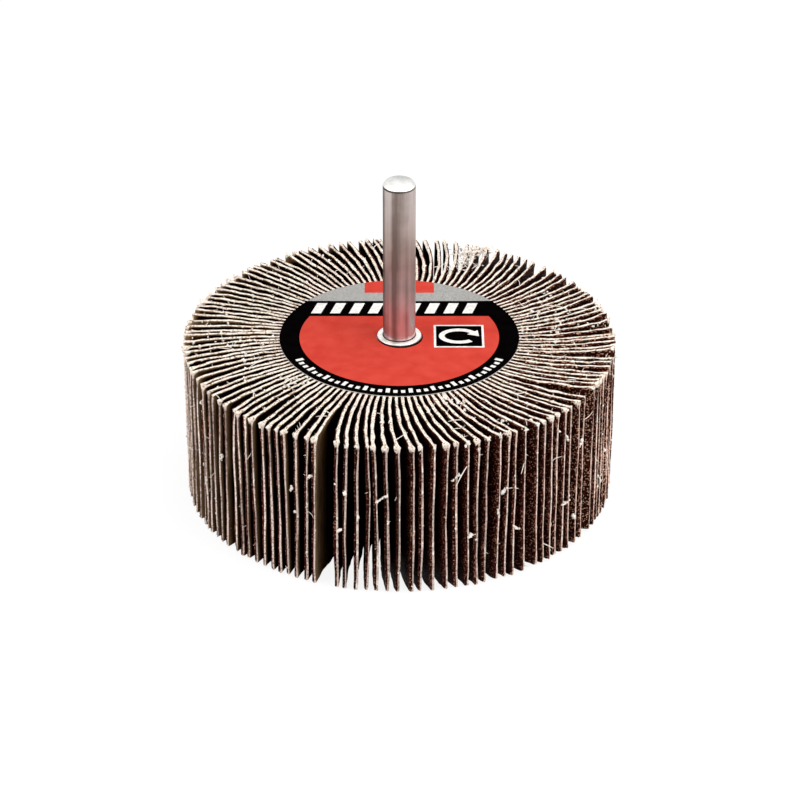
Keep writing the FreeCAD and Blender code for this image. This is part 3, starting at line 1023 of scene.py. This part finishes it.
cornerTurn = math.asin(label["redTop"] / label["redRadius"])
redTurn = np.concatenate([
    np.linspace(cornerTurn, math.pi - cornerTurn, 61)[:-1],
    np.linspace(math.pi - cornerTurn, wholeTurn + cornerTurn, 121)[:-1],
])
redOuter = np.where(np.sin(redTurn) * label["redRadius"] > label["redTop"],
                    label["redTop"] / np.maximum(np.sin(redTurn), 0.1), label["redRadius"])
shadowWidth, shadowAngle = label["redShadowGap"]
# the black label shows where the red stops short: a painted shadow of the collar
redInner = label["hole"] + 0.05 + shadowWidth * np.clip(np.cos(redTurn - math.radians(shadowAngle)), 0.0, 1.0) ** 1.5
labelParts.append((*roundSheet(redInner, redOuter, redTurn, 9, 1)[:2], inks["red"]))

rimRadius = label["radius"] - 0.04
greyHalf = math.sqrt(rimRadius ** 2 - label["greyFrom"] ** 2) - 0.05
tabHalf, tabFrom = label["tab"]


def rimCurve(x):
    return np.sqrt(rimRadius ** 2 - x ** 2)


printOn(*between(-greyHalf, greyHalf, label["greyFrom"], rimCurve, 48), 1, "grey")
printOn(*between(-tabHalf, tabHalf, tabFrom, rimCurve), 2, "red")

firstBar, barPitch, barCount, barWidth, barFrom, barTo, barSlant = label["bars"]
for number in range(barCount):
    left = firstBar + number * barPitch
    x, y = between(left, left + barWidth, barFrom, barTo, 4, 4)
    printOn(x + (y - barFrom) / (barTo - barFrom) * barSlant, y, 1, "white")

tickFrom, tickTo, tickCount, tickInner, tickOuter = label["ticks"]
for number in range(tickCount):
    middle = math.radians(tickFrom + (tickTo - tickFrom) * number / (tickCount - 1))
    inner = tickInner if number % 3 == 0 else tickInner + label["tickShort"]
    radius = np.linspace(inner, tickOuter, 4)[None, :] + np.zeros((3, 1))
    across = np.linspace(-label["tickHalf"], label["tickHalf"], 3)[:, None]
    x = radius * math.cos(middle) - across * math.sin(middle)
    y = radius * math.sin(middle) + across * math.cos(middle)
    printOn(x, y, 1, "white")

panelLeft, panelRight, panelFront, panelBack, panelLine = label["panel"]
printOn(*between(panelLeft, panelRight, panelFront, panelBack, 12), 2, "white")
printOn(*between(panelLeft + panelLine, panelRight - panelLine,
                 panelFront + panelLine, panelBack - panelLine, 12), 3, "black")
arrowX, arrowY, arrowLong, arrowShort, arrowWide = label["arrow"]
arrowStart, arrowEnd = label["arrowTurn"]
arrowTurn = np.radians(np.linspace(arrowStart, arrowEnd, 40))[None, :]
arrowShare = np.linspace(0.5, -0.5, 4)[:, None] * arrowWide
printOn(arrowX + (arrowLong - arrowShare) * np.cos(arrowTurn),
        arrowY + (arrowShort - arrowShare) * np.sin(arrowTurn), 4, "white")
headX = arrowX + arrowLong * math.cos(math.radians(arrowEnd))
headY = arrowY + arrowShort * math.sin(math.radians(arrowEnd))
headShare = np.linspace(0.0, 1.0, 5)[None, :]
headHalf, headLong = label["arrowHead"]
headSpan = np.linspace(headHalf, -headHalf, 5)[:, None] * (1.02 - headShare)
headAhead = np.array([0.62, -0.78])
headAcross = np.array([0.78, 0.62])
headPlanX = headX + headAhead[0] * headShare * headLong + headAcross[0] * headSpan
headPlanY = headY + headAhead[1] * headShare * headLong + headAcross[1] * headSpan
printOn(headPlanX[::-1], headPlanY[::-1], 4, "white")

labelPoints = np.concatenate([part[0] for part in labelParts])
labelStarts = np.cumsum([0] + [len(part[0]) for part in labelParts[:-1]])
labelFaces = np.concatenate([part[1] + start for part, start in zip(labelParts, labelStarts)])
labelZones = np.concatenate([part[2] + np.zeros(len(part[1]), dtype=np.int32) for part in labelParts])
labelPiece = addPiece("printedLabel", labelPoints, labelFaces, printFinishes, zones=labelZones, sharp=30.0)
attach(labelPiece, "root")
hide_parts("label")
print("label made:", len(labelFaces), "faces in", len(labelParts), "parts")


# Core and discs keep their CAD shapes

def makeResin():
    # Cast resin: brown with darker clouds, fine voids and a rough skin
    finish = Finish("castResin", 0.6, specular=0.25)
    colour = finish.noise(260.0, 5.0).ramp(
        (0.35, paint(46, 28, 20)), (0.5, paint(84, 54, 38)), (0.66, paint(112, 78, 54)))
    pit = finish.cells("Distance", 700.0) < 0.16
    finish.put("Base Color", pit.mix(colour, paint(24, 14, 10)))
    finish.bump(finish.noise(900.0, 5.0) - pit, 0.00012)
    return finish.material


def makeDiscSteel():
    # Zinc-plated pressing: grey with a fine grain, turned marks from the punch and a few stains
    finish = Finish("discSteel", 0.36, 1.0, 0.5)
    grain = finish.noise(1500.0, 3.0, (1.0, 0.08, 1.0))
    stains = finish.noise(180.0, 5.0)
    colour = (grain * 0.5 + stains * 0.5).ramp(
        (0.34, paint(118, 110, 100)), (0.5, paint(178, 176, 172)), (0.66, paint(206, 206, 204)))
    finish.put("Base Color", colour)
    finish.put("Roughness", stains * 0.3 + 0.22)
    finish.bump(grain, 0.00002, 0.6)
    return finish.material


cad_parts["resin_core"].material_slots[0].material = makeResin()
discFinish = makeDiscSteel()
for name in ("lower_disc", "upper_disc"):
    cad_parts[name].material_slots[0].material = discFinish
print("core and discs finished")


# Stage: pale floor, plain studio light and the camera

studio = {
    "floorSize": 6.0,
    "floorHeight": -0.0002,  # just under the flaps
    "floorGlow": 0.88,  # share of white that the camera sees whatever the light
    "floorShade": 0.15,  # share that follows the light, which keeps the shadow
    "ambient": 0.36,
    "lampsAt": (0.0, 0.0, 0.02),
    "overhead": ((0.1, 0.0, 0.75), 0.6, 3.5),
    "rightFill": ((0.75, -0.38, 0.34), 0.6, 4.6),
    "leftFill": ((-0.75, -0.38, 0.34), 0.6, 4.5),
    "camera": (0.0, -0.49026, 0.30064),
    "lookAt": (0.00013, 0.0, 0.0165),
    "lens": 135.9,
    "sensor": 36.0,
}


def seenDirectly(tree):
    # 1 for what the camera sees straight, in a reflection or through glass
    path = addNode(tree, "LightPath").outputs
    camera, glossy, glass = (Value(path[name]) for name in ("Is Camera Ray", "Is Glossy Ray", "Is Transmission Ray"))
    return camera.maths("MAXIMUM", glossy).maths("MAXIMUM", glass)


def makeFloor():
    # A plain floor to light, and a pale one that glows a little to the camera
    finish = Finish("paleFloor", 0.9, specular=0.0)
    finish.tree.nodes.remove(finish.shader)
    grain = finish.noise(40.0).ramp((0.3, (0.8, 0.8, 0.79, 1.0)), (0.7, (0.83, 0.83, 0.82, 1.0)))
    plain = finish.read("BsdfDiffuse", 0, {"Color": grain})
    shaded = finish.read("BsdfDiffuse", 0, {"Color": (*[studio["floorShade"]] * 3, 1.0)})
    glow = finish.read("Emission", 0, {"Color": white, "Strength": studio["floorGlow"]})
    pale = finish.read("AddShader", 0, {0: shaded, 1: glow})
    mixed = finish.read("MixShader", 0, {0: seenDirectly(finish.tree), 1: plain, 2: pale})
    finish.tree.links.new(mixed.output, finish.tree.nodes["Material Output"].inputs["Surface"])
    return finish.material


def makeWorld():
    # White all round to the camera, and dimmer as light
    world = bpy.data.worlds.new("studioWorld")
    world.use_nodes = True
    tree = world.node_tree
    background = tree.nodes["Background"]
    background.inputs["Color"].default_value = white
    strength = seenDirectly(tree) * (1.0 - studio["ambient"]) + studio["ambient"]
    tree.links.new(strength.output, background.inputs["Strength"])
    bpy.context.scene.world = world


def aimed(thing, place, target):
    # The thing put at its place in the scene, looking at the target
    thing.location = place
    thing.rotation_mode = "QUATERNION"
    thing.rotation_quaternion = (Vector(target) - Vector(place)).to_track_quat("-Z", "Y")
    bpy.context.scene.collection.objects.link(thing)
    return thing


def addSoftbox(name, place, size, power):
    lamp = bpy.data.lights.new(name, "AREA")
    lamp.shape = "SQUARE"
    lamp.size = size
    lamp.energy = power
    aimed(bpy.data.objects.new(name, lamp), place, studio["lampsAt"])


span, floorHeight = studio["floorSize"] / 2, studio["floorHeight"]
floorCorners = [(x * span, y * span, floorHeight) for x, y in ((-1, -1), (1, -1), (1, 1), (-1, 1))]
floorMesh = bpy.data.meshes.new("floor")
floorMesh.from_pydata(floorCorners, [], [(0, 1, 2, 3)])
floorMesh.materials.append(makeFloor())
floor = bpy.data.objects.new("floor", floorMesh)
bpy.context.scene.collection.objects.link(floor)
makeWorld()
addSoftbox("overheadSoftbox", *studio["overhead"])
addSoftbox("rightSoftbox", *studio["rightFill"])
addSoftbox("leftSoftbox", *studio["leftFill"])

cameraData = bpy.data.cameras.new("photoCamera")
cameraData.lens = studio["lens"]
cameraData.sensor_width = studio["sensor"]
cameraData.clip_start = 0.01
cameraData.clip_end = 20.0
camera = bpy.data.objects.new("photoCamera", cameraData)
bpy.context.scene.camera = aimed(camera, studio["camera"], studio["lookAt"])
bpy.context.scene.view_settings.view_transform = "Standard"
print("stage, light and camera set")
